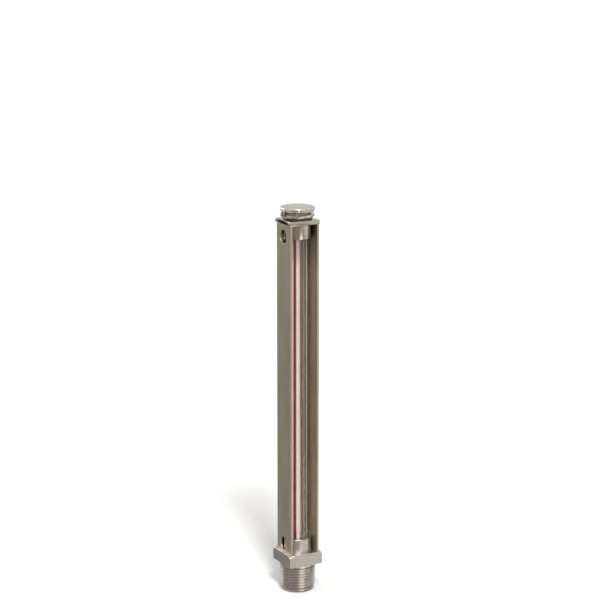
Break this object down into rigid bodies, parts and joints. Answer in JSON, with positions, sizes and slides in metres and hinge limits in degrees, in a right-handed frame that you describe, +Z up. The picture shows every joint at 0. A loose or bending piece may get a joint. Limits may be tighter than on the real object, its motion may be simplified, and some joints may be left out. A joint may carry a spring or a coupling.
{
  "type": "sight glass",
  "caption": "Vented column sight gauge: a red-line gauge glass in a folded guard channel between a pipe-threaded base with a square flange and a top plate with a screw-in breather.",
  "frame": {"origin": "centre of the pipe stub's lower end face, which is the mouth of the liquid passage", "axes": "+Z up along the gauge glass; the open side of the guard channel faces -Y, its web is at +Y"},
  "size_m": [0.0222, 0.0232, 0.2383],
  "materials": {
    "nickel_plated_brass": "machined and nickel plated, satin",
    "nickel_plated_sheet": "folded sheet, dull nickel plate",
    "gauge_glass": "clear drawn glass",
    "white_enamel": "fused white enamel",
    "red_enamel": "fused red enamel",
    "black_rubber": "black nitrile rubber",
    "plated_screws": "bright nickel plate",
    "polished_nickel": "turned and bright nickel plated",
    "felt": "pressed wool felt",
    "wire_cloth": "fine woven wire"
  },
  "bodies": {
    "column": {"base_fitting": "nickel_plated_brass", "guard_channel": "nickel_plated_sheet", "gauge_glass": "gauge_glass", "white_band": "white_enamel", "red_line": "red_enamel", "lower_o_ring": "black_rubber", "lower_cushion": "black_rubber", "top_fitting": "nickel_plated_brass", "upper_o_ring": "black_rubber", "upper_cushion": "black_rubber", "guard_screws": "plated_screws", "lock_washers": "plated_screws"},
    "breather_seal": {"vent_gasket": "black_rubber"},
    "breather": {"vent_body": "polished_nickel", "vent_cap": "polished_nickel", "vent_filter": "felt", "vent_screen": "wire_cloth", "filter_retainer": "plated_screws"}
  },
  "joints": [
    {"name": "breather_lift", "type": "slide", "parent": "column", "child": "breather_seal", "axis": [0, 0, 1], "range_m": [0, 0.0045]},
    {"name": "breather_turn", "type": "hinge", "parent": "breather_seal", "child": "breather", "pos_m": [0, 0, 0.2308], "axis": [0, 0, 1], "range_deg": [0, 1530]}
  ],
  "couplings": [
    {"joint": "breather_lift", "follows": "breather_turn", "m_per_rad": 0.00016844}
  ]
}
